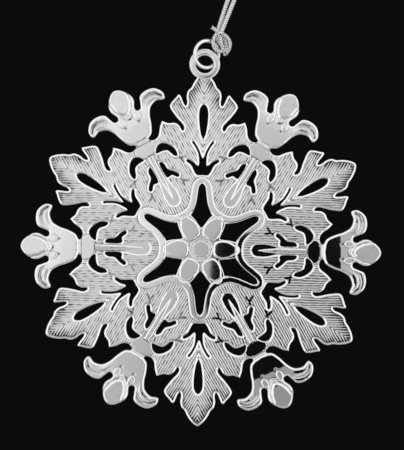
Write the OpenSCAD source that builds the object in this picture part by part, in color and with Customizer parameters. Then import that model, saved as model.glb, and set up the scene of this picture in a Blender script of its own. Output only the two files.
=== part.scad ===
// Snowflake ornament: a pierced cast plate with an eye, a wire jump ring and a knotted hanging cord.
// Millimetres, +Z up. The plate hangs in the XZ plane and its relief faces -Y.
// The origin is the point inside the top of the cord loop that a hook bears on.

/* [Plate] */
// Thickness of the pierced ground, without the relief
plate_thickness = 1.2; // [0.9:0.1:2]
// Centre of the plate to the tip of a leaf
leaf_tip = 40; // [39.4:0.2:42]
// Centre of the plate to the tip of a flower bud
bud_tip = 40.8; // [40:0.2:43]
// Length of the almond slit in each leaf
slit_length = 8; // [6:0.5:9]
// Half width of the almond slit
slit_half_width = 1; // [0.6:0.1:1.2]

/* [Relief] */
// Raised flower body above the ground
flower_rise = 0.5; // [0.2:0.1:1]
// Bud and calyx above the flower body
bud_rise = 0.35; // [0.1:0.05:0.8]
// Crown of the polished bead below each flower
bead_rise = 0.8; // [0.4:0.1:1.2]
// Half width of the bead
bead_half_width = 2; // [1.5:0.1:2.2]
// Height of the bead along its stem
bead_height = 2.7; // [2:0.1:2.9]
// Grooved stem that runs from the bead to its tongue
stem_rise = 0.45; // [0.2:0.05:0.8]
stem_width = 1; // [0.6:0.1:1.4]
// Flat tongue under the inner end of the stem
tongue_rise = 0.25; // [0.1:0.05:0.4]
tongue_width = 2.6; // [2:0.1:3]
// Collar between the bead and the cup
collar_rise = 0.25; // [0.1:0.05:0.4]
// Waved band round the centre opening
band_rise = 0.5; // [0.2:0.1:0.9]
band_width = 1; // [0.6:0.1:1.2]
// Flat of the six centre petals
petal_rise = 0.6; // [0.2:0.1:1]
// Boss in the middle
hub_diameter = 3.6; // [2.4:0.2:4]
hub_rise = 0.7; // [0.3:0.1:1.2]
// Ground left uncovered round a raised form
relief_margin = 0.3; // [0.2:0.05:0.5]

/* [Eye and ring] */
eye_outer = 7; // [6.4:0.2:8]
eye_hole = 4; // [3.6:0.2:4.6]
eye_thickness = 1; // [0.8:0.1:1.1]
// Broken edge of the eye
eye_edge = 0.35; // [0.2:0.05:0.38]
// How far the eye runs into the tip of its leaf
eye_sink = 1.6; // [1:0.2:2]
ring_outer = 6.9; // [6.4:0.1:7.6]
ring_wire = 0.8; // [0.6:0.05:0.9]
// Free space between the ring and the cord round it
ring_clearance = 0.1; // [0.05:0.05:0.2]

/* [Cord] */
cord_diameter = 1; // [0.8:0.1:1.1]

/* [Hidden] */
silver = "#c9ccd0";
braid = "#b9bcc2";
$fn = 48;

sectors = 6;
turn = 360 / sectors;
seat = 0.5;
// A span of a drawn curve is split in two where it bends by more than this, and in three at twice as much
bend_step = 32;

// Half of a leaf from its tip to the outer corner of its lowest leaflet: [across, out], 1 marks a corner
leaf_edge = [
  [0, leaf_tip], [1.25, leaf_tip - 0.8], [2.3, 37.8], [2.9, 36.6], [3.65, 35.8], [3.95, 34.6], [3.8, 33.1],
  [4.1, 32.4], [4.6, 33], [5.3, 34.6], [5.8, 34.9], [6.3, 34.3], [7.4, 33], [7.6, 31.9], [6.2, 29.9],
  [4.6, 28.1], [4.4, 27.1], [4.8, 26.8], [5.6, 28], [6.6, 28.5], [8, 28.4],
];
// Half of a flower from the tip of its bud to the neck, then on round the arm to the same leaflet corner
bud_edge = [[0, bud_tip], [1.5, bud_tip - 0.7], [2.8, 38.2], [2.9, 36.8], [2.2, 35.3]];
petal_edge = [
  [2.5, 34.5], [3.4, 34.5], [4, 35.8], [4.6, 37], [6.2, 37.5], [8.2, 37.1], [9.5, 35.5], [9.4, 34.1],
  [8.8, 33.9], [7.4, 34.4], [5.6, 33.8], [4.5, 32.2],
];
cup_edge = [[3.8, 30.2], [2.9, 28.5], [1.8, 27.8]];
arm_edge = [[1.8, 27.2], [2.8, 26.8], [4, 27.2], [5.2, 28.7], [6.3, 29.7, 1]];

// Pierced openings: the slit, fork and heart in halves, the crescent and comma whole
slit_top = 32.8;
slit_edge = [
  [0, slit_top], [0.85 * slit_half_width, slit_top - 1], [slit_half_width, slit_top - 0.4 * slit_length],
  [0.6 * slit_half_width, slit_top - 0.8 * slit_length], [0, slit_top - slit_length, 1],
];
fork_edge = [
  [0, 16.8], [1.2, 16.8], [1.8, 17.5], [2.6, 19], [3.7, 19.9], [3.3, 20.3], [2.1, 19.7], [1.2, 18.9],
  [0.8, 19.3], [1, 21.6], [1.9, 23.4], [2.5, 24.2], [2, 24.3], [0.9, 22.5], [0, 20.6],
];
heart_edge = [
  [0, 14.9], [0.7, 14.2], [1, 12.4], [1.3, 10.4], [1.9, 8.6], [2.4, 7.7, 1], [1.4, 6.6],
  [0.6, 5.5], [0, 4.9],
];
crescent_edge = [
  [1.6, 23.9], [2.3, 25], [3.6, 25.4], [4.9, 24.5], [5.8, 22.8], [5.6, 21.2], [4.9, 21.6], [4.2, 23.2],
  [3, 23.7],
];
comma_edge = [
  [1.4, 21.7], [2, 21], [2.2, 19.5], [3.2, 18.4], [3.9, 17.3], [3.3, 16.9], [2.4, 17.9], [1.1, 18.1],
  [1, 21.2],
];

// Raised forms
bud_flat = [[0, 34.9, 1], [1, 36.4], [1.7, 38], [1.3, 39.4], [0, bud_tip - 0.6]];
calyx_flat = [[0, 32.9, 1], [1.8, 31.6], [3.6, 33.4], [1.8, 34], [0, 34.5]];
band_line = [[0, 15.5], [1.2, 14.6], [1.65, 12.5], [1.95, 10.6], [2.6, 9]];
band_axis_radius = 8.6;
petal_flat = [[0, 7.8, 1], [1.3, 6.2], [1.3, 3.9], [0, 3]];
bead_out = 25.5;
stem_in = 12.8;
tongue_in = 11.6;
tongue_out = 17.3;
collar_in = 27;
collar_out = 27.8;
collar_half_width = 1.4;

// Where the ring lies in the eye, as it is drawn to one side by the cord
ring_lean = 10;
ring_tilt = 28;
ring_rise = 2.3;
ring_side = 0.4;
// The knot sits on the wire at this angle, is turned this far to the front, and its cord leaves along the wire
knot_angle = 47;
knot_front = 50;
knot_wrap = 1.1;
wrap_lean = 60;
knot_neck = 1.9;
knot_length = 2.75;
tail_length = 1.7;

// Route of the doubled cord from the knot, over the hook and back
cord_route = [
  [2.7, -0.45, -45.4], [3.3, -0.45, -43.3], [3.95, -0.45, -41.1], [4.65, -0.45, -38.8], [5.4, -0.4, -36.6],
  [6.1, -0.35, -34.2], [6.6, -0.3, -31.6], [6.8, -0.2, -28.9], [6.7, -0.1, -26.1], [6.2, 0, -23.3],
  [5.5, 0, -20.5], [4.5, 0, -17.8], [3.2, 0, -15.2], [1.6, 0, -12.6], [0, 0, -10],
  [-1.5, 0, -7.5], [-2.6, 0, -5], [-2.9, 0, -2.6], [-2.1, 0, -0.4], [0, 0, 0.5],
  [2.1, 0, -0.4], [2.9, 0, -2.6], [2.8, 0, -5], [2.7, 0, -7.5], [3, 0, -10],
  [3.7, 0, -12.6], [4.7, 0, -15.2], [5.8, 0, -17.8], [6.7, 0, -20.5], [7.4, 0, -23.3],
  [7.9, -0.2, -26.1], [8.1, -0.4, -28.9], [7.9, -0.6, -31.6], [7.5, -0.8, -34.5], [6.75, -0.9, -37],
  [5.9, -1, -39.2], [5.05, -1.1, -41.5], [4.2, -1.15, -43.7], [3.4, -1.15, -45.8],
];
cord_sides = 8;

// The hook is this far above the middle of the eye
loop_height = 52.6;
eye_out = leaf_tip - eye_sink + eye_outer / 2;
hang_height = eye_out + loop_height;
ring_radius = (ring_outer - ring_wire) / 2;
loop_radius = ring_wire / 2 + ring_clearance + cord_diameter / 2;

function xy(p) = [p[0], p[1]];
function flip(list) = [for (p = list) [-p[0], p[1], p[2]]];
function back(list) = [for (i = [len(list) - 1:-1:0]) list[i]];
// A half curve and its mirror image, without the axis point repeated
function whole(half) = concat(
  half, [for (i = [len(half) - 1:-1:0]) if (half[i][0] != 0) [-half[i][0], half[i][1], half[i][2]]]
);
// Turns [across, out] points so that out runs along the given direction
function along(list, a) = [
  for (p = list) [p[0] * sin(a) + p[1] * cos(a), -p[0] * cos(a) + p[1] * sin(a), p[2]]
];
// Closed curve through the points: each span is a cubic whose end slopes follow the neighbours
function span_at(p0, p1, p2, p3, t) =
  0.5 * (2 * p1 + (p2 - p0) * t + (2 * p0 - 5 * p1 + 4 * p2 - p3) * t * t
  + (3 * p1 - p0 - 3 * p2 + p3) * t * t * t);
function bend(a, b) = acos(min(1, a * b / norm(a) / norm(b)));
function smooth(list) = let (m = len(list)) [
  for (i = [0:m - 1])
    let (
      p1 = xy(list[i]),
      p2 = xy(list[(i + 1) % m]),
      p0 = list[i][2] == 1 ? 2 * p1 - p2 : xy(list[(i + m - 1) % m]),
      p3 = list[(i + 1) % m][2] == 1 ? 2 * p2 - p1 : xy(list[(i + 2) % m]),
      total = (bend(p1 - p0, p2 - p1) + bend(p2 - p1, p3 - p2)) / 2,
      steps = total > 2 * bend_step ? 3 : total > bend_step ? 2 : 1
    )
    for (s = [0:steps - 1]) span_at(p0, p1, p2, p3, s / steps)
];

// The outline of the plate runs clockwise: half a leaf, a whole flower, the next half leaf
flower_edge = concat(bud_edge, petal_edge, cup_edge, arm_edge);
outline = [
  for (k = [0:sectors - 1]) each concat(
    along(leaf_edge, 90 - k * turn),
    along(flip(back(flower_edge)), 90 - (k + 0.5) * turn),
    along([for (i = [1:len(flower_edge) - 1]) flower_edge[i]], 90 - (k + 0.5) * turn),
    along(flip([for (i = [len(leaf_edge) - 1:-1:1]) leaf_edge[i]]), 90 - (k + 1) * turn)
  )
];
// The band runs through the leaf axes and crosses each flower axis at its own radius
band_loop = [
  for (k = [0:sectors - 1]) each concat(
    along(band_line, 90 - k * turn),
    along([[0, band_axis_radius]], 90 - (k + 0.5) * turn),
    along(flip([for (i = [len(band_line) - 1:-1:1]) band_line[i]]), 90 - (k + 1) * turn)
  )
];
// A closed line moved sideways
function beside(list, d) = let (m = len(list)) [
  for (i = [0:m - 1])
    let (t = list[(i + 1) % m] - list[(i + m - 1) % m])
    list[i] + d * [-t[1], t[0]] / norm(t)
];

// Stands the drawn plate up with its front to -Y
module in_plate() {
  translate([0, plate_thickness / 2, -hang_height]) rotate([90, 0, 0]) children();
}

module each_leaf() {
  for (k = [0:sectors - 1]) rotate(k * turn) children();
}

module each_flower() {
  for (k = [0:sectors - 1]) rotate((k + 0.5) * turn) children();
}

// Flat ground with all its openings, cut back inside the eye
module pierced_ground() {
  linear_extrude(plate_thickness) difference() {
    polygon(smooth(outline));
    each_leaf() {
      polygon(smooth(whole(slit_edge)));
      polygon(smooth(whole(fork_edge)));
      polygon(smooth(whole(heart_edge)));
    }
    each_flower() {
      polygon(smooth(crescent_edge));
      polygon(smooth(flip(back(crescent_edge))));
      polygon(smooth(comma_edge));
      polygon(smooth(flip(back(comma_edge))));
    }
    translate([0, eye_out]) circle(d = (eye_hole + eye_outer) / 2);
  }
}

// A form that stands on the front and is rooted in the ground
module raised(rise) {
  translate([0, 0, plate_thickness - seat]) linear_extrude(rise + seat) children();
}

// Cup, curled petals and bud in one body, with the bud and the calyx standing higher on it
module flower() {
  raised(flower_rise) offset(delta = -relief_margin)
    polygon(smooth(whole(concat(bud_edge, petal_edge, cup_edge))));
  raised(flower_rise + bud_rise) {
    polygon(smooth(whole(bud_flat)));
    polygon(smooth(whole(calyx_flat)));
  }
}

// Polished oval bead with a domed crown
module bead() {
  crown = (bead_half_width * bead_half_width + bead_rise * bead_rise) / (2 * bead_rise);
  intersection() {
    raised(bead_rise) translate([0, bead_out]) intersection() {
      square([2 * bead_half_width, bead_height], center = true);
      circle(bead_half_width);
    }
    translate([0, bead_out, plate_thickness + bead_rise - crown]) sphere(crown, $fn = 96);
  }
}

// Stem with the tongue under its inner end and a collar between bead and cup
module stem() {
  tongue_end = tongue_in + tongue_width / 2;
  raised(tongue_rise) {
    translate([-tongue_width / 2, tongue_end]) square([tongue_width, tongue_out - tongue_end]);
    translate([0, tongue_end]) circle(d = tongue_width);
  }
  raised(stem_rise) {
    translate([-stem_width / 2, stem_in]) square([stem_width, bead_out - stem_in]);
    translate([0, stem_in]) circle(d = stem_width);
  }
  raised(collar_rise) translate([-collar_half_width, collar_in])
    square([2 * collar_half_width, collar_out - collar_in]);
}

// Waved band of even width
module band() {
  line = smooth(band_loop);
  raised(band_rise) difference() {
    polygon(beside(line, band_width / 2));
    polygon(beside(line, -band_width / 2));
  }
}

// Domed boss
module hub() {
  translate([0, 0, plate_thickness - seat]) rotate_extrude() intersection() {
    square([hub_diameter / 2, hub_rise + seat]);
    translate([0, hub_rise + seat - hub_diameter]) circle(hub_diameter);
  }
}

// The eye is a flat ring with broken edges
module eye() {
  inner = eye_hole / 2;
  outer = eye_outer / 2;
  half = eye_thickness / 2;
  translate([0, eye_out, plate_thickness / 2]) rotate_extrude() polygon([
    [inner, eye_edge - half], [inner + eye_edge, -half], [outer - eye_edge, -half], [outer, eye_edge - half],
    [outer, half - eye_edge], [outer - eye_edge, half], [inner + eye_edge, half], [inner, half - eye_edge],
  ]);
}

// One casting: pierced ground, the relief on its front and the eye on the top leaf
module snowflake() {
  color(silver) in_plate() {
    pierced_ground();
    each_flower() {
      flower();
      bead();
      stem();
      raised(petal_rise) polygon(smooth(whole(petal_flat)));
    }
    band();
    hub();
    eye();
  }
}

// Puts the ring's own plane where it leans through the eye
module in_ring() {
  in_plate() translate([ring_side, eye_out + ring_rise, plate_thickness / 2])
    rotate([0, 0, -ring_lean]) rotate([0, ring_tilt, 0]) children();
}

// Round wire ring through the eye
module jump_ring() {
  color(silver) in_ring() rotate_extrude($fn = 96) translate([ring_radius, 0]) circle(d = ring_wire);
}

// Puts the knot on the ring's wire: X away from the ring's centre, Y along the wire
module on_wire() {
  in_ring() rotate([0, 0, knot_angle]) translate([ring_radius, 0, 0]) children();
}

// The cord goes round the wire once and is tied on itself, with its cut end left short
module cord_knot() {
  body = [ring_wire / 2 + 2 * ring_clearance + cord_diameter / 2 + knot_wrap, 0, 0];
  color(braid) on_wire() {
    rotate([-90, 0, 0]) rotate_extrude() translate([loop_radius, 0]) circle(d = cord_diameter);
    rotate([0, -knot_front, 0]) translate(body) {
      sphere(knot_wrap);
      rotate([wrap_lean, 0, 0]) rotate_extrude() translate([knot_wrap, 0]) circle(d = cord_diameter);
      rotate([-90, 0, 0]) {
        cylinder(d = cord_diameter, h = knot_length);
        translate([0, 0, knot_length]) sphere(d = knot_neck);
        translate([-cord_diameter / 2, 0, knot_length]) cylinder(d = cord_diameter, h = tail_length);
      }
    }
  }
}

// Rings of points square to the route, joined into one closed tube
function unit(v) = v / norm(v);
function route_way(i) = unit(cord_route[min(i + 1, len(cord_route) - 1)] - cord_route[max(i - 1, 0)]);
module hanging_cord() {
  m = len(cord_route);
  points = [
    for (i = [0:m - 1])
      let (w = route_way(i), a = unit(cross(w, [0, 1, 0])), b = cross(w, a))
      for (s = [0:cord_sides - 1])
        cord_route[i] + cord_diameter / 2 * (a * cos(360 * s / cord_sides) + b * sin(360 * s / cord_sides))
  ];
  sides = [
    for (i = [0:m - 2], s = [0:cord_sides - 1])
      let (n = (s + 1) % cord_sides, p = i * cord_sides, q = p + cord_sides)
      each [[p + s, q + s, q + n], [p + s, q + n, p + n]]
  ];
  ends = [
    [for (s = [0:cord_sides - 1]) s],
    [for (s = [cord_sides - 1:-1:0]) (m - 1) * cord_sides + s],
  ];
  color(braid) polyhedron(points, concat(sides, ends));
}

snowflake();
jump_ring();
cord_knot();
hanging_cord();
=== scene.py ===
import math

import bpy
import numpy as np
from mathutils import Matrix, Vector
from mathutils.geometry import delaunay_2d_cdt


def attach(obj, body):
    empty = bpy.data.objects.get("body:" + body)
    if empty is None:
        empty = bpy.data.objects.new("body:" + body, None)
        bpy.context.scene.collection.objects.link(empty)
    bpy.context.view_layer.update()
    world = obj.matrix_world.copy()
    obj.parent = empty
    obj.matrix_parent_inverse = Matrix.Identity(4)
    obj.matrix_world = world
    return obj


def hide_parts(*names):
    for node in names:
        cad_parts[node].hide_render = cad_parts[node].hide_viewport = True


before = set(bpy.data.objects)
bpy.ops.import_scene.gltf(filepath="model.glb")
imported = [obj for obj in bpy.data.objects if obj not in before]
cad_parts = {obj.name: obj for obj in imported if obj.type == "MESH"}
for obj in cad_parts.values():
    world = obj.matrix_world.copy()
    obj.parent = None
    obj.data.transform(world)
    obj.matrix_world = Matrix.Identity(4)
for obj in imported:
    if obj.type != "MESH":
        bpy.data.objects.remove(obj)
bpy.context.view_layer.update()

# The snowflake is one casting in base metal: pierced, chased on its front and plain on its back. It is
# silver plated, its flats are polished to a mirror, and its leaves are lined with fine cuts side by side.
# Six equal sectors, each a flower with half a leaf on either side, are drawn in millimetres.
ground = 1.2  # thickness of the casting under its relief
hang_height = 94.5  # from the hook down to the middle of the plate
sixth = 60  # degrees from one flower to the next
leaf_angle = math.radians(sixth / 2)  # from the axis of a flower to that of the leaf beside it


def drawn(*points):
    """Points of a curve as rows of across, out and 1 where it has a corner."""
    return np.array([(*p, 0)[:3] for p in points], float)


def mirrored(points):
    """The points on the other side of the axis, in the opposite order."""
    return points[::-1] * [-1, 1, 1]


def turned(points, degrees):
    """The points turned clockwise about the middle of the plate: across and out are each a mix of both,
    by the cosine and the sine of the angle."""
    c = math.cos(math.radians(degrees))
    s = math.sin(math.radians(degrees))
    across = points[:, 0] * c + points[:, 1] * s
    out = points[:, 1] * c - points[:, 0] * s
    return np.column_stack([across, out, points[:, 2:]])


def whole(half):
    """A half curve joined to its mirror image, with each point on the axis kept once."""
    return np.vstack([half, mirrored(half)[half[::-1, 0] != 0]])


def cubics(before, start, end, beyond, steps):
    """Points on the cubics from each start to its end. The slope at a point is half the way from the
    point before it to the one after it."""
    p0, p1, p2, p3 = (q[:, None, :] for q in (before, start, end, beyond))
    t = np.linspace(0, 1, steps, endpoint=False)[None, :, None]
    bend = 2 * p0 - 5 * p1 + 4 * p2 - p3
    twist = 3 * p1 - p0 - 3 * p2 + p3
    curve = 2 * p1 + (p2 - p0) * t + bend * t**2 + twist * t**3
    return (curve / 2).reshape(-1, start.shape[1])


def smooth(points, steps=12):
    """Closed curve of cubics through the points, which runs straight into a corner."""
    p = points[:, :2]
    corner = points[:, 2:3] == 1
    after = np.roll(p, -1, 0)
    before = np.where(corner, 2 * p - after, np.roll(p, 1, 0))
    beyond = np.where(np.roll(corner, -1, 0), 2 * after - p, np.roll(p, -2, 0))
    return cubics(before, p, after, beyond, steps)


def six_times(leaf, flower):
    """Curve round the plate: in each sixth of it half a leaf, the flower and half of the next leaf."""
    return np.vstack([
        part
        for k in range(0, 360, sixth)
        for part in (
            turned(leaf, k - sixth / 2), turned(flower, k), turned(mirrored(leaf[1:]), k + sixth / 2),
        )
    ])


leaf_edge = drawn(
    (0, 40), (1.25, 39.2), (2.3, 37.8), (2.9, 36.6), (3.65, 35.8), (3.95, 34.6), (3.8, 33.1),
    (4.1, 32.4), (4.6, 33), (5.3, 34.6), (5.8, 34.9), (6.3, 34.3), (7.4, 33), (7.6, 31.9), (6.2, 29.9),
    (4.6, 28.1), (4.4, 27.1), (4.8, 26.8), (5.6, 28), (6.6, 28.5), (8, 28.4),
)
bud_edge = drawn((0, 40.8), (1.5, 40.1), (2.8, 38.2), (2.9, 36.8), (2.2, 35.3))
petal_edge = drawn(
    (2.5, 34.5), (3.4, 34.5), (4, 35.8), (4.6, 37), (6.2, 37.5), (8.2, 37.1), (9.5, 35.5), (9.4, 34.1),
    (8.8, 33.9), (7.4, 34.4), (5.6, 33.8), (4.5, 32.2),
)
cup_edge = drawn((3.8, 30.2), (2.9, 28.5), (1.8, 27.8))
arm_edge = drawn((1.8, 27.2), (2.8, 26.8), (4, 27.2), (5.2, 28.7), (6.3, 29.7, 1))
slit_edge = drawn((0, 32.8), (0.85, 31.8), (1, 29.6), (0.6, 26.4), (0, 24.8, 1))
fork_edge = drawn(
    (0, 16.8), (1.2, 16.8), (1.8, 17.5), (2.6, 19), (3.7, 19.9), (3.3, 20.3), (2.1, 19.7), (1.2, 18.9),
    (0.8, 19.3), (1, 21.6), (1.9, 23.4), (2.5, 24.2), (2, 24.3), (0.9, 22.5), (0, 20.6),
)
heart_edge = drawn(
    (0, 14.9), (0.7, 14.2), (1, 12.4), (1.3, 10.4), (1.9, 8.6), (2.4, 7.7, 1), (1.4, 6.6), (0.6, 5.5),
    (0, 4.9),
)
crescent_edge = drawn(
    (1.6, 23.9), (2.3, 25), (3.6, 25.4), (4.9, 24.5), (5.8, 22.8), (5.6, 21.2), (4.9, 21.6),
    (4.2, 23.2), (3, 23.7),
)
comma_edge = drawn(
    (1.4, 21.7), (2, 21), (2.2, 19.5), (3.2, 18.4), (3.9, 17.3), (3.3, 16.9), (2.4, 17.9), (1.1, 18.1),
    (1, 21.2),
)
flower_edge = np.vstack([bud_edge, petal_edge, cup_edge, arm_edge])
outline = six_times(leaf_edge, np.vstack([mirrored(flower_edge), flower_edge[1:]]))


def beside_leaf(p):
    """Distance of each point from the axis of the leaf on the right, towards the flower: out times the
    sine of the leaf's angle, less across times its cosine."""
    return p[:, 1] * math.sin(leaf_angle) - p[:, 0] * math.cos(leaf_angle)


def chain(loop):
    """The stretch of a closed curve that lies between the axis of the flower and that of the leaf."""
    kept = (loop[:, 0] > -1e-6) & (beside_leaf(loop) > -1e-6)
    if kept.all():
        return np.vstack([loop, loop[:1]])
    start = np.flatnonzero(kept & ~np.roll(kept, 1))[0]
    return np.roll(loop, -start, 0)[: kept.sum()]


def spaced(line, step):
    """The line with points at even steps along it."""
    s = np.r_[0, np.cumsum(np.hypot(*np.diff(line, axis=0).T))]
    t = np.linspace(0, s[-1], max(2, round(s[-1] / step) + 1))
    return np.column_stack([np.interp(t, s, line[:, 0]), np.interp(t, s, line[:, 1])])


at_once = 3_000_000  # pairs of a point and a piece of line that are worked out together


def distance(p, *lines):
    """Least distance from each point to the lines: the point is dropped square on each straight piece, or
    on its nearer end."""
    a = np.vstack([q[:-1] for q in lines])
    ab = np.vstack([np.diff(q, axis=0) for q in lines])
    size = np.maximum((ab**2).sum(1), 1e-12)
    found = []
    for block in np.array_split(p, len(p) * len(a) // at_once + 1):
        ap = block[:, None] - a
        t = np.clip((ap * ab).sum(2) / size, 0, 1)
        found.append(np.sqrt(((ap - t[..., None] * ab) ** 2).sum(2).min(1)))
    return np.concatenate(found)


def crossings(p, *lines):
    """How many times a line straight out from each point meets the lines: once for each piece that spans
    the point sideways and lies further out there."""
    a = np.vstack([q[:-1] for q in lines])
    b = np.vstack([q[1:] for q in lines])
    run = np.where(a[:, 0] == b[:, 0], 1, b[:, 0] - a[:, 0])
    found = []
    for block in np.array_split(p, len(p) * len(a) // at_once + 1):
        u = block[:, :1]
        v = block[:, 1:]
        spans = (a[:, 0] <= u) != (b[:, 0] <= u)
        met = a[:, 1] + (u - a[:, 0]) / run * (b[:, 1] - a[:, 1])
        found.append((spans & (met > v)).sum(1))
    return np.concatenate(found)


def within(p, loop):
    """Distance of each point from a closed curve, positive inside, where a line straight out meets the
    curve an odd number of times, and negative outside."""
    closed = np.vstack([loop, loop[:1]])
    return np.where(crossings(p, closed) % 2 == 1, 1, -1) * distance(p, closed)


def ease(low, high, x):
    """Runs from 0 to 1 between low and high, level at both ends: three times the square of the share of
    the way, less twice its cube."""
    t = np.clip((x - low) / (high - low), 0, 1)
    return t * t * (3 - 2 * t)


def shoulder(x):
    """A quarter round: 0 at 0, upright there, and level at 1 and above."""
    return np.sqrt(1 - (1 - np.clip(x, 0, 1)) ** 2)


def ridge(x, width):
    """A soft round line of that half width: e to the power of minus the square of x over the width."""
    return np.exp(-((x / width) ** 2))


edges = [
    chain(smooth(outline)),
    *(chain(turned(smooth(whole(e)), sixth / 2)) for e in (slit_edge, fork_edge, heart_edge)),
    chain(smooth(crescent_edge)),
    chain(smooth(comma_edge)),
]
flower_loop = smooth(whole(np.vstack([bud_edge, petal_edge, cup_edge])))
egg_edge = drawn((0, 34.5, 1), (1, 35.3), (1.75, 36.6), (2.05, 38), (2.4, 39.6), (1.6, 41.4), (0, 42))
egg_loop = smooth(whole(egg_edge))
centre_petal = drawn(
    (0, 8.3), (0.5, 7.9), (1.1, 7.1), (1.6, 6), (1.75, 5), (1.62, 4), (1.2, 3.3), (0, 3.05),
)
petal_loop = smooth(whole(centre_petal))
band_line = drawn((0, 15.5), (1.2, 14.6), (1.65, 12.5), (1.95, 10.6), (2.6, 9))
band_loop = smooth(six_times(band_line, drawn((0, 8.6))))
curl_line = drawn((3.5, 33.9), (4.3, 35.1), (5.3, 35.8), (6.8, 36.15), (8.1, 35.8), (8.9, 34.8))
curl_groove = spaced(curl_line[:, :2], 0.3)
scale_edge = drawn(
    (1.25, 34.4), (1.1, 33.4), (1.4, 32.6), (2, 32.4), (2.6, 32.9), (2.7, 33.8), (2.3, 34.7), (1.7, 34.9),
)
scale_loop = smooth(scale_edge)
inner_fork = (3.9, 15.7)
outer_fork = (5.9, 20.4)
vein_lines = (
    ((3.8, 14.5), inner_fork, (3.75, 16.35)),
    ((5.1, 15), inner_fork),
    ((6.15, 19.2), outer_fork, (5.65, 20.75)),
    ((7.2, 20.1), outer_fork),
)
veins = [drawn(*line)[:, :2] for line in vein_lines]
line_pitch = 0.55  # from one cut line to the next


def waver(u, v):
    """How far a line cut by hand strays at a point, as a share of the pitch: two sine waves added up."""
    return 0.16 * np.sin(1.37 * u + 0.3 * v) + 0.05 * np.sin(2.3 * v + u)


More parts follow.
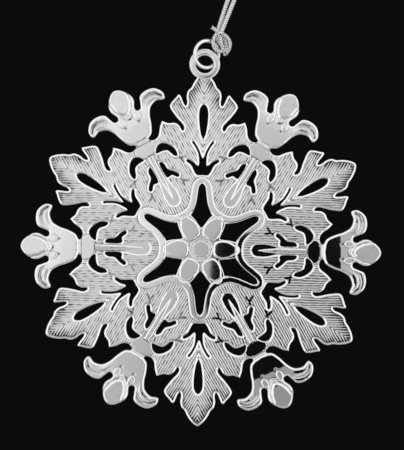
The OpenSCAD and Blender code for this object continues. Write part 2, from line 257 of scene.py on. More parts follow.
def relief(p, d):
    """Height of the front above the back at points of a sector, d from the nearest edge, with how satin
    the surface is and how dark its colour is made, both from 0 to 1. The darkening is partly tarnish
    where the buffing wheel does not reach and partly painted shade in the cuts and hollows. Forms are
    laid on one another: the cut lines of the leaves, then petals, hub, band, tongue, stem, bead, collar
    and flower."""
    # across, out along the flower's axis and from the middle, then off and along the leaf's axis
    u = p[:, 0]
    v = p[:, 1]
    r = np.hypot(u, v)
    beside = beside_leaf(p)
    along = u * math.sin(leaf_angle) + v * math.cos(leaf_angle)
    band = distance(p, np.vstack([band_loop, band_loop[:1]]))
    out = distance(p, edges[0])

    # leaf: lines cut along the flower's axis, each of its own uneven depth. They are deepest at the tip
    # of the leaf beside the outline, and at the head, between the band and the tongue. They stop short
    # of the edges, but for the narrow neck beyond the crescent. chance is each line's own number, from
    # 0 to 1
    cut_depth = 0.15
    edge_margin = 0.38
    neck_at = (3.5, 26.3)
    wave = u / line_pitch + waver(u, v)
    line = np.round(wave)
    chance = np.abs(437.5 * np.sin(12.99 * line)) % 1
    tip = (1 - ease(0.9, 3.2, out)) * (0.4 * ease(24, 30, along) + 0.6 * ease(31, 35, along))
    head = (1 - ease(1.9, 2.5, band)) * (1 - ease(1.8, 3.2, u)) * ease(8.9, 9.4, r)
    uneven = (0.45 + 0.8 * chance) * (0.8 + 0.35 * np.sin((1.3 + 2 * chance) * v + 9 * chance))
    shape = 1 - 2 * np.abs(wave - line)
    neck = ease(0.08, 0.2, d) * (1 - ease(0.8, 1.2, np.hypot(*(p - neck_at).T)))
    field = np.maximum(ease(edge_margin, 0.6, d), neck)
    deep = (0.5 + 0.15 * head) * uneven * (1 - tip) + (0.68 + 0.3 * chance) * tip
    lines = field * shape * (0.33 + 0.67 * deep + 0.35 * head)

    # veins: smooth branched lines, with a seam cut beside the small openings and one along the outline
    vein_half = 0.32
    vein_slope = 0.16
    vein_depth = 0.1
    seam_inset = 0.5
    seam_depth = 0.12
    rim_inset = 0.54
    rim_depth = 0.1
    gap = distance(p, *veins)
    vein = np.clip((vein_half - gap) / vein_slope, 0, 1)
    fork = np.minimum(np.hypot(*(p - inner_fork).T), np.hypot(*(p - outer_fork).T))
    seam = ridge(distance(p, *edges[4:]) - seam_inset, 0.1) * (v < 24)
    seam = seam * (0.3 + 0.9 * (1 - ease(0.8, 2, fork)))
    cut = ridge(d - rim_inset, 0.11) * (1 - ease(0.6, 1.2, out)) * ease(0.2, 0.9, tip)
    z = ground - cut_depth * lines - rim_depth * cut - seam_depth * seam
    z = z * (1 - vein) + (ground - vein_depth) * vein

    # two small beads on the axis of the leaf
    bead_height = 0.3
    inner_bead = np.hypot(beside, along - 22.6) / 0.42
    outer_bead = np.hypot(beside, along - 24.15) / 0.5
    dome = np.sqrt(np.clip(1 - np.minimum(inner_bead, outer_bead) ** 2, 0, 1))
    z = np.maximum(z, ground - 0.02 + bead_height * dome)

    # finish of the leaf: satin between its edges, with grime and painted shade darkening the cut lines
    satin = (0.15 + 0.85 * field) * (1 - vein)
    grime_and_shade = field * ease(0.3 - 0.2 * tip, 0.8, shape) * deep * (0.25 + 0.75 * ease(0.2, 0.6, deep))
    grime_and_shade = grime_and_shade * (1 - 0.45 * head) * (1 - ridge(gap - 0.45, 0.28))
    # painted shade: a darkening just inside the rim at the tip of the leaf
    shade = 0.25 * field * tip * (1 - ease(0.6, 2, out))
    # painted shade, with tarnish: the cut lines, the rim cut, the seams and the veins are darkened
    recess = (grime_and_shade + 0.6 * cut + 0.7 * seam + shade) * (1 - vein)
    recess = np.clip(recess + 0.6 * ease(0.5, 1, vein), 0, 1)

    def lay(height, where, form_tarnish_and_shade=0, dull=0):
        """Lays a form on the front: each value is its own share of what was there and of the form's, by
        where, which is 1 on the form. The form's darkening of the colour is partly tarnish and partly
        painted shade."""
        nonlocal z, satin, recess
        z = z * (1 - where) + height * where
        satin = satin * (1 - where) + dull * where
        recess = recess * (1 - where) + form_tarnish_and_shade * where

    # petals of the centre, flat with a narrow bevel all round, and a thin line of painted shade, with
    # tarnish, in the groove round them
    petal_reach = 8.4
    petal_side = 0.44
    bevel_height = 0.16
    bevel_width = 0.26
    s = within(p, petal_loop)
    bevel = np.clip(1 + s / bevel_width, 0, 1)
    petal = ground + petal_side + bevel_height * bevel
    lay(petal, 1 - ease(petal_reach, 8.7, r), form_tarnish_and_shade=0.25 * ridge(s + 0.32, 0.1))

    # hub: a flat button in a ringed seat. The seat is a little darker and a thin dark line runs round the
    # button, both painted shade with tarnish.
    hub_radius = 1.96
    hub_side = 0.3
    hub_height = 0.4
    seat_radius = 2.25
    seat_height = 0.36
    bevel = np.clip((hub_radius - r) / 0.15, 0, 1)
    lay(ground + seat_height + 0.03 * ridge(r - seat_radius, 0.14), 1 - ease(2.45, 2.6, r), form_tarnish_and_shade=0.1)
    button = ground + hub_side + hub_height * bevel
    lay(button, 1 - ease(hub_radius, 2.08, r), form_tarnish_and_shade=0.25 * ridge(r - 1.99, 0.08))

    # waved band, flat on top, with a low ramp on it where the tip of a petal meets it, and a groove
    # beside it darkened with painted shade and tarnish
    band_half = 0.86
    band_side = 0.16
    bevel_height = 0.15
    bevel_width = 0.27
    ramp_start = 8.1
    bevel = np.clip((band_half - band) / bevel_width, 0, 1)
    lay(ground - 0.04, ridge(band - 0.95, 0.06) * ease(8.9, 9.2, r), form_tarnish_and_shade=0.5)
    lay(ground + band_side + bevel_height * bevel - 0.02 * (r - 12), 1 - ease(band_half, 0.9, band))
    ramp = (v > ramp_start) * (1 - ease(0.38, 0.6, np.hypot(0.6 * u, v - ramp_start)))
    lay(ground + 0.24 + 0.14 * (v - ramp_start), ramp)

    # tongue: a flat sunk channel round the end of the stem, wider there than further out
    tongue_half = 1.38
    tongue_depth = 0.17
    tongue_slope = 0.31
    s = tongue_half - 0.52 * ease(14.6, 17.6, v) - np.hypot(u, np.minimum(v - 12.8, 0))
    on = ease(10.3, 10.8, v) * (1 - ease(18.2, 18.8, v))
    lay(ground - tongue_depth * np.clip(1 + s / tongue_slope, 0, 1), (s > -tongue_slope) * on)

    # stem: a flat bar with bevelled sides, tapered to its inner end and grooved at its outer one. The
    # dark lines along its sides and in the groove are painted shade with tarnish.
    stem_half = 0.66
    stem_start = 12.9
    stem_end = 24.3
    stem_side = 0.12
    bevel_height = 0.1
    bevel_width = 0.22
    taper = np.clip((v - stem_start) / 6, 0, 1) ** 0.6
    half = stem_half * taper * np.sqrt(np.clip((stem_end - v) / 0.4, 0, 1))
    flank = ridge(np.maximum(u - half - 0.06, 0), 0.08) * ease(17, 18, v) * (v < stem_end)
    lay(ground - 0.08, flank, form_tarnish_and_shade=0.8)
    slot = ridge(u, 0.1) * ease(15.5, 18.5, v) * (v < 23.7)
    bevel = np.clip((half - u) / bevel_width, 0, 1)
    bar = ground + stem_side + bevel_height * bevel + 0.09 * (half - u) - 0.05 * slot
    lay(bar, half > u, form_tarnish_and_shade=0.6 * slot, dull=0.3)

    # bead: a flat pad across the head of the stem, with a collar that rises to the flower behind it. The
    # moat round the pad is darkened with painted shade and tarnish, and the collar is greyed by painted
    # shade from the cup's wall.
    pad_at = 25.55
    pad_half_width = 2.75
    pad_half_height = 1.5
    pad_side = 0.15
    pad_height = 0.4
    collar_start = 26.95
    pad = ((u / pad_half_width) ** 3 + (np.abs(v - pad_at) / pad_half_height) ** 3) ** (1 / 3)
    lay(ground, (1 - ease(1.02, 1.08, pad)) * (d > 0.15), form_tarnish_and_shade=0.45)
    lay(ground + pad_side + pad_height * shoulder((1 - pad) * 14), pad < 1)
    collar = ground + 0.1 + 0.36 * np.clip((v - collar_start) / 0.85, 0, 1)
    lay(collar, (np.abs(v - 27.4) < 0.45) & (u < 2.3), form_tarnish_and_shade=0.25)

    # flower: cup and curled petals in one, with a scale and a pit on either side, and the bud's sepals
    # and its egg in the middle
    flower_side = 0.28
    flower_height = 0.22
    flower_slope = 0.38
    pit_at = (1.7, 32)
    s = within(p, flower_loop)
    egg = within(p, egg_loop)
    scale = within(p, scale_loop)
    gap = distance(p, curl_groove)
    groove = ridge(gap, 0.3) * ease(3.6, 5.5, u)
    pit = ridge(np.hypot(*(p - pit_at).T), 0.28)
    sepal = ridge(egg + 0.3, 0.2) * (s > 0) * (egg < 0) * ease(0.2, 0.9, u)
    egg_height = 0.18 - 0.016 * np.clip(v - 35.5, 0, 6)
    body = flower_side + flower_height * np.clip(np.minimum(d, s) / flower_slope, 0, 1)
    body = body - 0.008 * np.clip(v - 31.4, 0, 3) ** 2
    body = body - 0.08 * groove + 0.02 * ridge(gap - 0.75, 0.3) * (v < 35.6) * ease(3.6, 5.5, u)
    body = body + 0.1 * np.clip(scale / 0.3, 0, 1) - 0.03 * pit
    body = body - 0.14 * sepal + 0.06 * ridge(egg + 0.8, 0.28) + egg_height * np.clip(egg / 0.3, 0, 1)
    # painted shade, with tarnish: the curl's groove, the pits, the sepals and the outline of each scale
    # are darkened; the egg is a little darker all over
    dark = groove * (0.25 + 0.6 * ease(5.5, 8.5, u)) + 0.7 * pit + 0.45 * sepal
    dark = dark + 0.3 * ridge(scale + 0.1, 0.12) + 0.1 * (egg > 0.1)
    lay(ground + body, ease(0, 0.06, s), form_tarnish_and_shade=np.clip(dark, 0, 1), dull=np.clip(0.4 * groove, 0, 0.5))

    # every edge is filed to a bevel, and those of the flower are just broken
    filed_width = (0.2 + 0.22 * ease(14.5, 16, r)) * (1 - 0.6 * (pad < 1.15))
    broken = 1 - shoulder(d / 0.1)
    z = z - (0.52 * np.clip(filed_width - d, 0, 1) + 0.06 * broken) * (s <= 0)
    z = z - 0.1 * broken * (s > 0)
    return z, satin, recess


def sector_half():
    """Flat points and triangles of half a sector. The edges and a few rows beside them are followed
    exactly, and the net of points between them follows the cut lines, eight to a line."""
    edge_step = 0.1
    net_step = 0.13
    net_margin = 0.24
    axis_margin = 0.04
    rows = [spaced(e, edge_step) for e in edges]
    ways = [np.gradient(r, axis=0) for r in rows]
    side = [np.column_stack([-t[:, 1], t[:, 0]]) / np.hypot(*t.T)[:, None] for t in ways]
    aside = (-0.19, -0.11, -0.05, 0.05, 0.11, 0.19)  # of the rows beside an edge
    beside = np.vstack([r + k * n for r, n in zip(rows, side) for k in aside])
    far = np.concatenate([np.full(len(r), abs(k)) for r in rows for k in aside])
    count, v = np.meshgrid(np.arange(-1, 45, 1 / 8), np.arange(0, 42.5, net_step))
    # a line's waver depends on where it is, so its place is worked out again until it settles
    u = line_pitch * count
    for _ in range(12):
        u = line_pitch * (count - waver(u, v))
    net = np.column_stack([u.ravel(), v.ravel()])
    axis = np.arange(0, 42, edge_step)
    on_flower = np.column_stack([0 * axis, axis])
    on_leaf = np.column_stack([axis * math.sin(leaf_angle), axis * math.cos(leaf_angle)])
    beyond = 46
    ends = [[0, beyond], [beyond * math.sin(leaf_angle), beyond * math.cos(leaf_angle)]]

    def inside(p):
        """Whether each point is on the metal."""
        return crossings(p, *edges) % 2 == 1

    def clear(p):
        """Whether each point is off both axes, on the side of the sector."""
        return (p[:, 0] > axis_margin) & (beside_leaf(p) > axis_margin)

    clear_of_axes = clear(beside)
    beside = beside[clear_of_axes]
    far = far[clear_of_axes]
    beside = beside[inside(beside) & (distance(beside, *edges) > 0.93 * far)]
    net = net[clear(net)]
    net = net[inside(net)]
    net = net[distance(net, *edges) > net_margin]
    on_flower = on_flower[distance(on_flower, *edges) > axis_margin]
    on_leaf = on_leaf[distance(on_leaf, *edges) > axis_margin]
    points = np.vstack([*rows, beside, net, on_flower, on_leaf, ends])

    # the rows along the edges and the two axes stay unbroken
    last = len(points) - 1
    leaf_start = last - 1 - len(on_leaf)
    flower_start = leaf_start - len(on_flower)
    starts = np.cumsum([0] + [len(r) for r in rows])
    steps = np.concatenate([np.arange(s, s + len(r) - 1) for s, r in zip(starts, rows)])
    links = np.column_stack([steps, steps + 1]).tolist()
    links += [(flower_start, last - 1), (leaf_start, last)]
    found = delaunay_2d_cdt(points.tolist(), links, [], 0, 1e-5, False)
    flat = np.array(found[0])
    tri = np.array(found[2])
    middle = flat[tri].mean(1)
    keep = (middle[:, 0] > 0) & (beside_leaf(middle) > 0) & inside(middle)
    used, tri = np.unique(tri[keep], return_inverse=True)
    return flat[used], tri.reshape(-1, 3)


def rim_of(tri, p):
    """Edges of a triangulated sheet that belong to one triangle only and are not on the axis of the
    flower."""
    pairs = tri[:, [0, 1, 1, 2, 2, 0]].reshape(-1, 2)
    ordered = np.sort(pairs, 1)
    key = ordered[:, 0] * len(p) + ordered[:, 1]
    _, where, count = np.unique(key, return_inverse=True, return_counts=True)
    rim = pairs[count[where] == 1]
    on_flower = (np.abs(p[rim, 0]) < 1e-4).all(1)
    return rim[~on_flower]


def back_net():
    """Flat back of half a sector, on the points of its rim and its two axes alone."""
    on_axis = (np.abs(flat[:, 0]) < 1e-4) | (np.abs(beside_leaf(flat)) < 1e-4)
    used = np.unique(np.concatenate([rim.ravel(), np.flatnonzero(on_axis)]))
    place = np.full(front_count, -1)
    place[used] = np.arange(len(used))
    found = delaunay_2d_cdt(flat[used].tolist(), place[rim].tolist(), [], 0, 1e-6, False)
    tri = np.array(found[2])
    middle = np.array(found[0])[tri].mean(1)
    keep = (crossings(middle, *edges) % 2 == 1) & (middle[:, 0] > 0) & (beside_leaf(middle) > 0)
    return used[tri[keep]] + front_count


flat, front = sector_half()
height, satin, recess = relief(flat, distance(flat, *edges))
front_count = len(flat)
rim = rim_of(front, flat)
# the wall goes straight down from the rim, and also closes the cut along the axis of the leaf
below = rim + front_count
wall = np.vstack([
    np.column_stack([rim[:, 0], below[:, 0], below[:, 1]]),
    np.column_stack([rim[:, 0], below[:, 1], rim[:, 1]]),
])
half_points = np.vstack([np.column_stack([flat, height]), np.column_stack([flat, 0 * height])])
half_faces = np.vstack([front, wall, back_net()[:, ::-1]])
half_finish = np.tile(np.column_stack([satin, recess]), (2, 1))
half_finish[front_count:] = [0.6, 0.15]  # the walls' feet and the back are duller than the front
used, half_faces = np.unique(half_faces, return_inverse=True)
half_points = half_points[used]
half_finish = half_finish[used]
half_faces = half_faces.reshape(-1, 3)


def solid(name, points, faces, smooth_to=20, **finish):
    """Object of the points, in metres, with triangles or quads as faces, smooth but for edges sharper
    than smooth_to degrees. Each finish is a value at every point."""
    mesh = bpy.data.meshes.new(name)
    mesh.from_pydata(np.asarray(points).tolist(), [], np.asarray(faces).tolist())
    mesh.validate()
    mesh.shade_smooth()
    mesh.set_sharp_from_angle(angle=math.radians(smooth_to))
    for key, values in finish.items():
        layer = mesh.attributes.new(key, "FLOAT", "POINT")
        layer.data.foreach_set("value", np.asarray(values, np.float32))
    made = bpy.data.objects.new(name, mesh)
    bpy.context.scene.collection.objects.link(made)
    return made


def upright(p):
    """Points of the plate, in millimetres with the front to +Z, as they hang: metres, front to -Y."""
    return np.column_stack([p[:, 0], ground / 2 - p[:, 2], p[:, 1] - hang_height]) / 1000


def linear(code):
    """Linear red, green, blue and alpha of an sRGB hex colour: a share of 1 / 12.92 in the darkest tones,
    and a power of 2.4 above them."""
    c = np.array([int(code[k : k + 2], 16) / 255 for k in (1, 3, 5)])
    return (*np.where(c <= 0.04045, c / 12.92, ((c + 0.055) / 1.055) ** 2.4), 1)


def node(tree, kind, inputs=None, **settings):
    """Adds a node, sets its properties, and sets or links its inputs."""
    made = tree.nodes.new(kind)
    for key, value in settings.items():
        setattr(made, key, value)
    for key, value in (inputs or {}).items():
        if isinstance(value, bpy.types.NodeSocket):
            tree.links.new(value, made.inputs[key])
        else:
            made.inputs[key].default_value = value
    return made


# Silver plate: a near-white metal, mirror bright where it was buffed and satin on the chased ground. In
# the cuts and hollows its colour is greyer, partly from tarnish where the buffing wheel does not reach
# and partly from painted shade.
plate_silver = bpy.data.materials.new("silver_plate")
plate_silver.use_nodes = True
tree = plate_silver.node_tree
surface = tree.nodes["Principled BSDF"]
buffed = linear("#f6f6f5")
unbuffed_and_shaded = linear("#222325")
buffed_rough = 0.02
satin_rough = 0.15
grain_rough = 0.02
satin_value = node(tree, "ShaderNodeAttribute", attribute_name="satin").outputs["Fac"]
recess_value = node(tree, "ShaderNodeAttribute", attribute_name="recess").outputs["Fac"]
place = node(tree, "ShaderNodeTexCoord").outputs["Object"]
# size in millimetres of the satin's grain and of the patches of grime that make the tarnish and painted
# shade heavier or lighter, both coarser than real, so that they show
grain_size = 10 / 9
patch_size = 1
grain = node(
    tree, "ShaderNodeTexNoise",
    {"Vector": place, "Scale": 1000 / grain_size, "Detail": 3, "Roughness": 0.6},
).outputs["Fac"]
patch = node(
    tree, "ShaderNodeTexNoise", {"Vector": place, "Scale": 1000 / patch_size, "Detail": 2}
).outputs["Fac"]
uneven = node(tree, "ShaderNodeMath", {0: patch, 1: 2.4, 2: -0.2}, operation="MULTIPLY_ADD").outputs[0]
shade = node(
    tree, "ShaderNodeMath", {0: recess_value, 1: uneven}, operation="MULTIPLY", use_clamp=True
).outputs[0]
# painted shade: the colour runs to dark grey in the cuts and hollows, for tarnish and for the shade that
# falls there
tone = node(tree, "ShaderNodeMix", {"Factor": shade, "A": buffed, "B": unbuffed_and_shaded}, data_type="RGBA")
rough = node(
    tree, "ShaderNodeMath", {0: satin_value, 1: satin_rough, 2: buffed_rough}, operation="MULTIPLY_ADD"
).outputs[0]
rough = node(
    tree, "ShaderNodeMath", {0: grain, 1: grain_rough, 2: rough}, operation="MULTIPLY_ADD"
).outputs[0]
tree.links.new(tone.outputs["Result"], surface.inputs["Base Color"])
tree.links.new(rough, surface.inputs["Roughness"])
surface.inputs["Metallic"].default_value = 1

eye_out = 41.9  # from the middle of the plate to that of the eye
eye_rim = 3.5  # its outer radius
tip_face = 0.95  # height of the leaf's tip inside the eye
tip_back = 0.15  # of its back there
hole_reach = 2.5  # what is nearer to the middle of the eye is drawn out of its hole
sector = np.vstack([half_points, half_points * [-1, 1, 1]])
sector_faces = np.vstack([half_faces, half_faces[:, ::-1] + len(half_points)])
sector_finish = np.tile(half_finish, (2, 1))
# points where the two halves meet are kept once
places = np.round(sector * 1e5).astype(np.int64)
_, first, same = np.unique(places, axis=0, return_index=True, return_inverse=True)
sector = sector[first]
sector_finish = sector_finish[first]
sector_faces = same.ravel()[sector_faces]
for k in range(6):
    p = turned(sector, sixth * k + sixth / 2)
    finish = sector_finish.copy()
    if k in (0, 5):
        # the tip of the top leaf runs into the eye, below its face and without cut lines
        away = p[:, :2] - [0, eye_out]
        far = np.hypot(*away.T)
        on = 1 - ease(3.36, eye_rim, far)
        is_front = p[:, 2] > 0.01
        p[:, 2] = np.where(is_front, p[:, 2] * (1 - on) + tip_face * on, p[:, 2] + tip_back * on)
        finish *= 1 - on[:, None]
        drawn_out = [0, eye_out] + away * (0.05 + 0.95 * hole_reach / np.maximum(far, 0.1))[:, None]
        p[:, :2] = np.where((far < hole_reach)[:, None], drawn_out, p[:, :2])
    arm = solid(
        f"snowflake_arm_{k + 1}", upright(p), sector_faces, satin=finish[:, 0], recess=finish[:, 1],
    )
    arm.data.materials.append(plate_silver)
    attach(arm, "plate")
    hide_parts("snowflake")

# The eye on the top leaf is cast in one with the plate: a flat ring with rounded edges and a 4 mm hole,
# filed and buffed. Its section is a rounded oblong that is a little thinner at the rim.
eye_width = 1.5
eye_half_thick = 0.48
eye_taper = 0.03
squareness = 0.62
turn = np.linspace(0, 2 * math.pi, 120, endpoint=False)
around = np.linspace(0, 2 * math.pi, 48, endpoint=False)
circle = np.column_stack([np.cos(around), np.sin(around)])
section = np.abs(circle) ** squareness * np.sign(circle)
away = eye_rim - eye_width / 2 + eye_width / 2 * section[:, 0]
rise = ground / 2 + eye_half_thick * section[:, 1] - eye_taper * section[:, 0] * section[:, 1]


def lathe(away, rise, turn):
    """Closed ring of a closed profile: each point of the profile goes round at its own distance from the
    axis, and keeps its rise along it."""
    across = np.cos(turn)[:, None] * away
    out = np.sin(turn)[:, None] * away
    points = np.stack([across, out, np.ones(len(turn))[:, None] * rise], 2).reshape(-1, 3)
    m = len(away)
    i, j = np.meshgrid(np.arange(len(turn)), np.arange(m), indexing="ij")
    i2 = (i + 1) % len(turn)
    j2 = (j + 1) % m
    return points, np.stack([i * m + j, i2 * m + j, i2 * m + j2, i * m + j2], 2).reshape(-1, 4)


points, faces = lathe(away, rise, turn)
plain = np.zeros(len(points))
eye = solid("snowflake_eye", upright(points + [0, eye_out, 0]), faces, satin=plain, recess=plain + 0.15)
eye.data.materials.append(plate_silver)
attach(eye, "plate")
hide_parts("snowflake")

# The jump ring is round silver-plated wire, cut from a coil and bent shut through the eye. Its butt joint
# lies under the knot.
ring_wire = 0.8
ring_radius = 3.05
ring_at = (0.4, eye_out + 2.3, ground / 2)
ring_tilt = math.radians(-10)  # in the plane of the plate
ring_lean = math.radians(28)  # out of it, about the ring's upright


def in_ring(p):
    """Points of the ring's own plane, in millimetres, where it leans through the eye."""
    at = (
        Matrix.Translation(ring_at)
        @ Matrix.Rotation(ring_tilt, 4, "Z")
        @ Matrix.Rotation(ring_lean, 4, "Y")
    )
    m = np.array(at)
    return upright(p @ m[:3, :3].T + m[:3, 3])


turn = np.linspace(0, 2 * math.pi, 144, endpoint=False)
around = np.linspace(0, 2 * math.pi, 24, endpoint=False)
away = ring_radius + ring_wire / 2 * np.cos(around)
rise = ring_wire / 2 * np.sin(around)
points, faces = lathe(away, rise, turn)
plain = np.zeros(len(points))
ring = solid("jump_ring_wire", in_ring(points), faces, satin=plain, recess=plain)
ring.data.materials.append(plate_silver)
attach(ring, "ring")
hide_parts("jump_ring")

# The cord is a round braid of six metallic yarns, doubled into a loop over the hook. Its two ends run
# side by side into the knot.
cord_diameter = 1
cord_route = np.array([
    (2.7, -0.45, -45.4), (3.3, -0.45, -43.3), (3.95, -0.45, -41.1), (4.65, -0.45, -38.8),
    (5.4, -0.4, -36.6), (6.1, -0.35, -34.2), (6.6, -0.3, -31.6), (6.8, -0.2, -28.9), (6.7, -0.1, -26.1),
    (6.2, 0, -23.3), (5.5, 0, -20.5), (4.5, 0, -17.8), (3.2, 0, -15.2), (1.6, 0, -12.6), (0, 0, -10),
    (-1.5, 0, -7.5), (-2.6, 0, -5), (-2.9, 0, -2.6), (-2.1, 0, -0.4), (0, 0, 0.5), (2.1, 0, -0.4),
    (2.9, 0, -2.6), (2.8, 0, -5), (2.7, 0, -7.5), (3, 0, -10), (3.7, 0, -12.6), (4.7, 0, -15.2),
    (5.8, 0, -17.8), (6.7, 0, -20.5), (7.4, 0, -23.3), (7.9, -0.2, -26.1), (8.1, -0.4, -28.9),
    (7.9, -0.6, -31.6), (7.5, -0.8, -34.5), (6.75, -0.9, -37), (5.9, -1, -39.2), (5.05, -1.1, -41.5),
    (4.2, -1.15, -43.7), (3.4, -1.15, -45.8),
])


def through(points, steps):
    """Open curve of cubics through points in space. It runs straight on past its two ends."""
    p = np.vstack([2 * points[0] - points[1], points, 2 * points[-1] - points[-2]])
    return np.vstack([cubics(p[:-3], p[1:-2], p[2:-1], p[3:], steps), points[-1:]])


def braid(line, diameter, lay=1.6):
    """Round braid along a line in millimetres: three yarns wind one way and three the other, and each
    lies over and under in turn where it crosses. lay is the length of one turn. Returns the points, the
    quads and a painted shade at each point, from 0 upwards: more where the yarn turns in towards the core
    and where it runs under another."""
    s = np.r_[0, np.cumsum(np.linalg.norm(np.diff(line, axis=0), axis=1))]
    step = 0.07
    m = max(8, int(s[-1] / step))
    t = np.linspace(0, s[-1], m)
    core = np.column_stack([np.interp(t, s, line[:, k]) for k in range(3)])
    way = np.gradient(core, axis=0)
    way /= np.linalg.norm(way, axis=1)[:, None]
    # two directions square to the cord, the first from one that the cord never runs along
    one = np.cross(way, [0.3, 1, 0.001])
    one /= np.linalg.norm(one, axis=1)[:, None]
    two = np.cross(way, one)
    sides = 8
    b = np.linspace(0, 2 * math.pi, sides, endpoint=False)
    i, j = np.meshgrid(np.arange(m - 1), np.arange(sides), indexing="ij")
    here = i * sides
    there = here + sides
    j2 = (j + 1) % sides
    # each yarn is a tube, closed at both ends
    tube = np.stack([here + j, here + j2, there + j2, there + j], 2).reshape(-1, 4)
    cap = np.array([(0, 1, 2, 7), (2, 3, 6, 7), (3, 4, 5, 6)])
    yarn = np.vstack([tube, cap[:, ::-1], cap + (m - 1) * sides])
    yarn_half = 0.19 * diameter
    yarn_away = 0.28 * diameter
    yarn_swing = 0.07 * diameter
    yarn_flatness = 1.15
    points = []
    faces = []
    inward = []
    for k in range(6):
        hand = 1 if k % 2 else -1
        a = hand * 2 * math.pi * t / lay + (k // 2) * math.pi * 2 / 3
        over = hand * np.cos(6 * math.pi * t / lay)
        far = yarn_away + yarn_swing * over
        out = np.cos(a)[:, None] * one + np.sin(a)[:, None] * two
        axis = core + far[:, None] * out
        run = np.gradient(axis, axis=0)
        run /= np.linalg.norm(run, axis=1)[:, None]
        out -= (out * run).sum(1)[:, None] * run
        out /= np.linalg.norm(out, axis=1)[:, None]
        flank = np.cross(run, out)
        ring = np.cos(b)[None, :, None] * out[:, None]
        ring = ring + yarn_flatness * np.sin(b)[None, :, None] * flank[:, None]
        points.append((axis[:, None] + yarn_half * ring).reshape(-1, 3))
        faces.append(yarn + k * m * sides)
        # painted shade: darker on the side turned to the core and where the yarn runs under another
        under = 1 - ease(-0.5, 0.4, over)
        inward.append((0.5 - 0.5 * np.cos(b)[None, :] + 0.8 * under[:, None]).ravel())
    return np.vstack(points), np.vstack(faces), np.concatenate(inward)


# Metallised yarn: bright where a yarn lies on top of the braid, with painted shade that makes it nearly
# black in the gaps between yarns.
metal_yarn = bpy.data.materials.new("metallic_braid")
metal_yarn.use_nodes = True
tree = metal_yarn.node_tree
surface = tree.nodes["Principled BSDF"]
bright = linear("#fafafb")
gap_shade_black = linear("#0c0c0d")
inward = node(tree, "ShaderNodeAttribute", attribute_name="inward").outputs["Fac"]
shade = node(
    tree, "ShaderNodeMath", {0: inward, 1: 1.7, 2: -0.1}, operation="MULTIPLY_ADD", use_clamp=True
).outputs[0]
tone = node(tree, "ShaderNodeMix", {"Factor": shade, "A": bright, "B": gap_shade_black}, data_type="RGBA")
tree.links.new(tone.outputs["Result"], surface.inputs["Base Color"])
surface.inputs["Metallic"].default_value = 0.9
surface.inputs["Roughness"].default_value = 0.18

cord_line = through(cord_route, 8)
points, faces, inward = braid(cord_line, cord_diameter)
cord = solid("hanging_cord_braid", points / 1000, faces, smooth_to=80, inward=inward)
cord.data.materials.append(metal_yarn)
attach(cord, "cord")
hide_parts("hanging_cord")

# The knot is tied in the end of the same cord: it goes round the ring's wire, is wrapped and drawn tight,
# and its cut end is left short. Pulled tight, the cord is thinner here than in the loop.
knot_diameter = 0.84
# across and up from the middle of the plate, and forward of the middle of its thickness
knot_paths = [
    [(2.9, 49.2, 0.9), (2.3, 48.5, 0.9), (1.85, 47.5, 0.8), (1.85, 46.3, 0.75), (2.3, 45.35, 0.8),
     (3.15, 44.85, 0.5), (4.1, 45.0, 0.1), (4.7, 45.5, -0.7)],
    [(3, 49, 0.7), (3.25, 48.2, 0.9), (3.55, 47.2, 0.85), (3.8, 46.2, 0.75), (4, 45.3, 0.3)],
    [(3.2, 49.1, 0.8), (4.1, 48.7, 0.75), (5, 48, 0.5), (5.6, 46.9, 0.15), (5.45, 45.6, -0.2),
     (4.9, 44.6, -0.6), (4.4, 44.4, -1.5)],
    [(3.6, 48.7, -0.2), (4.3, 47.8, -0.1), (4.7, 46.8, -0.2), (4.7, 45.8, -0.3), (4.3, 44.9, -0.6)],
    [(4.7, 45.3, -0.9), (4.3, 45.8, -2.1), (3.4, 46.8, -2.3), (2.7, 47.8, -1.6), (2.6, 48.6, -0.3)],
    [(5.2, 46.8, -0.7), (4.7, 47.6, -0.5), (3.9, 48.2, -0.3), (3.2, 48.8, 0)],
    [(3.1, 48.9, 0.9), (2.5, 49.4, 1.2), (1.9, 49.9, 1.3), (1.4, 50.2, 1.3)],
]
parts = [braid(through(np.array(path), 10), knot_diameter) for path in knot_paths]
bases = np.cumsum([0] + [len(p) for p, _, _ in parts])
points = np.vstack([p for p, _, _ in parts])
faces = np.vstack([f + b for (_, f, _), b in zip(parts, bases)])
inward = np.concatenate([q for _, _, q in parts])
knot = solid("cord_knot_braid", upright(points + [0, 0, ground / 2]), faces, smooth_to=80, inward=inward)
knot.data.materials.append(metal_yarn)
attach(knot, "cord")
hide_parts("cord_knot")

# The stage: a plain pale floor well below the ornament, a light tent that is bright in front and dim
# behind, and the dark body of the camera, which the polished flats mirror. Sizes here are in metres.
floor_radius = 1.1
floor_drop = 1
turn = np.linspace(0, 2 * math.pi, 96, endpoint=False)
c = np.cos(turn)
s = np.sin(turn)
floor_mesh = bpy.data.meshes.new("floor")
floor_points = np.column_stack([floor_radius * c, floor_radius * s, 0 * turn - floor_drop])
floor_mesh.from_pydata(floor_points.tolist(), [], [list(range(len(turn)))])
floor = bpy.data.objects.new("floor", floor_mesh)
bpy.context.scene.collection.objects.link(floor)
# Painted board: a matt near-white that sends soft light up.
pale = bpy.data.materials.new("pale_floor")
pale.use_nodes = True
surface = pale.node_tree.nodes["Principled BSDF"]
surface.inputs["Base Color"].default_value = linear("#dcdcda")
surface.inputs["Roughness"].default_value = 0.8
floor_mesh.materials.append(pale)

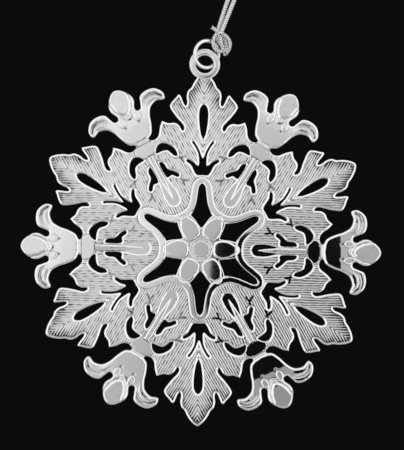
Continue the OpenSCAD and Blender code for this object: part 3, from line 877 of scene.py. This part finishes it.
# the camera looks square at the plate, rolled as the photograph is
view_distance = 0.5
view_height = 0.1019  # of the picture, at the plate
roll = math.radians(1.2)
look_at = Vector((0.13, 0, -89.0)) / 1000
lens = bpy.data.cameras.new("camera")
lens.sensor_width = 36
lens.lens = lens.sensor_width * view_distance / view_height
lens.clip_start = 0.05
lens.clip_end = 20
camera = bpy.data.objects.new("camera", lens)
camera.rotation_mode = "QUATERNION"
camera.location = look_at - Vector((0, view_distance, 0))
level = Matrix.Rotation(math.radians(90), 3, "X")
camera.rotation_quaternion = (level @ Matrix.Rotation(roll, 3, "Z")).to_quaternion()
bpy.context.scene.collection.objects.link(camera)
bpy.context.scene.camera = camera

# the camera's body is a dark oblong with round corners, just to the lower right of the lens
card_half_width = 0.032
card_half_height = 0.039
card_at = camera.location + Vector((0.036, 0.005, -0.035))
card_points = np.column_stack([
    card_at.x + card_half_width * np.sign(c) * np.abs(c) ** 0.5,
    card_at.y + 0 * turn,
    card_at.z + card_half_height * np.sign(s) * np.abs(s) ** 0.5,
])
card_mesh = bpy.data.meshes.new("camera_body")
card_mesh.from_pydata(card_points.tolist(), [], [list(range(len(turn)))])
card = bpy.data.objects.new("camera_body", card_mesh)
card.visible_camera = False
card.visible_diffuse = False
card.visible_shadow = False
bpy.context.scene.collection.objects.link(card)
# Black camera: matt and nearly black, so that the flats that mirror it look black.
black = bpy.data.materials.new("black_camera")
black.use_nodes = True
surface = black.node_tree.nodes["Principled BSDF"]
surface.inputs["Base Color"].default_value = linear("#1e1e1e")
surface.inputs["Specular IOR Level"].default_value = 0
surface.inputs["Roughness"].default_value = 0.6
card_mesh.materials.append(black)

# the tent: its tone runs from the back wall, at 0, over a dark edge beside the plate to the bright cloth
# in front and the dimmer opening round the lens, at 1
world = bpy.data.worlds.new("light_tent")
world.use_nodes = True
bpy.context.scene.world = world
tree = world.node_tree
way = node(tree, "ShaderNodeTexCoord").outputs["Generated"]
part = node(tree, "ShaderNodeSeparateXYZ", {"Vector": way}).outputs
front_share = node(
    tree, "ShaderNodeMath", {0: part["Y"], 1: -0.5, 2: 0.5}, operation="MULTIPLY_ADD"
).outputs[0]
cloth = node(tree, "ShaderNodeValToRGB", {"Fac": front_share})
ramp = cloth.color_ramp
ramp.elements[0].position = 0.4
ramp.elements[0].color = (0.07, 0.07, 0.07, 1)
ramp.elements[1].position = 0.58
ramp.elements[1].color = (0.95, 0.95, 0.95, 1)
for position, value in ((0.0, 0.34), (0.2, 0.34), (0.955, 0.95), (0.985, 0.52), (1.0, 0.48)):
    ramp.elements.new(position).color = (value, value, value, 1)
# round the lens it is brighter to the left and above
left = node(tree, "ShaderNodeMath", {0: part["X"], 1: 0}, operation="MINIMUM").outputs[0]
lean = node(tree, "ShaderNodeMath", {0: left, 1: -10, 2: 1}, operation="MULTIPLY_ADD").outputs[0]
lean = node(tree, "ShaderNodeMath", {0: part["Z"], 1: 4.2, 2: lean}, operation="MULTIPLY_ADD").outputs[0]
lean = node(tree, "ShaderNodeClamp", {"Value": lean, "Min": 0.7, "Max": 1.7})
# elsewhere it is brighter at the sides, and darkest between level and steep
across = node(tree, "ShaderNodeMath", {0: part["X"]}, operation="ABSOLUTE").outputs[0]
along = node(tree, "ShaderNodeMath", {0: part["Z"]}, operation="ABSOLUTE").outputs[0]
square = node(tree, "ShaderNodeMath", {0: along, 1: along}, operation="MULTIPLY").outputs[0]
wide = node(tree, "ShaderNodeMath", {0: across, 1: 0.6, 2: 1}, operation="MULTIPLY_ADD").outputs[0]
wide = node(tree, "ShaderNodeMath", {0: along, 1: -1.4, 2: wide}, operation="MULTIPLY_ADD").outputs[0]
wide = node(tree, "ShaderNodeMath", {0: square, 1: 1.7, 2: wide}, operation="MULTIPLY_ADD").outputs[0]
wide = node(tree, "ShaderNodeClamp", {"Value": wide, "Min": 0.7, "Max": 1.12})
ahead = node(tree, "ShaderNodeMapRange", {"Value": front_share, "From Min": 0.975, "From Max": 0.99})
share = node(
    tree, "ShaderNodeMix",
    {"Factor": ahead.outputs["Result"], "A": wide.outputs["Result"], "B": lean.outputs["Result"]},
)
tent = node(
    tree, "ShaderNodeVectorMath",
    {0: cloth.outputs["Color"], "Scale": share.outputs["Result"]}, operation="SCALE",
)
# the camera itself sees a plain dark background
seen = node(tree, "ShaderNodeLightPath").outputs["Is Camera Ray"]
backdrop = linear("#0c0c0c")
shown = node(
    tree, "ShaderNodeMix", {"Factor": seen, "A": tent.outputs["Vector"], "B": backdrop}, data_type="RGBA"
)
tree.links.new(shown.outputs["Result"], tree.nodes["Background"].inputs["Color"])
tree.nodes["Background"].inputs["Strength"].default_value = 1.0
bpy.context.scene.view_settings.view_transform = "Standard"
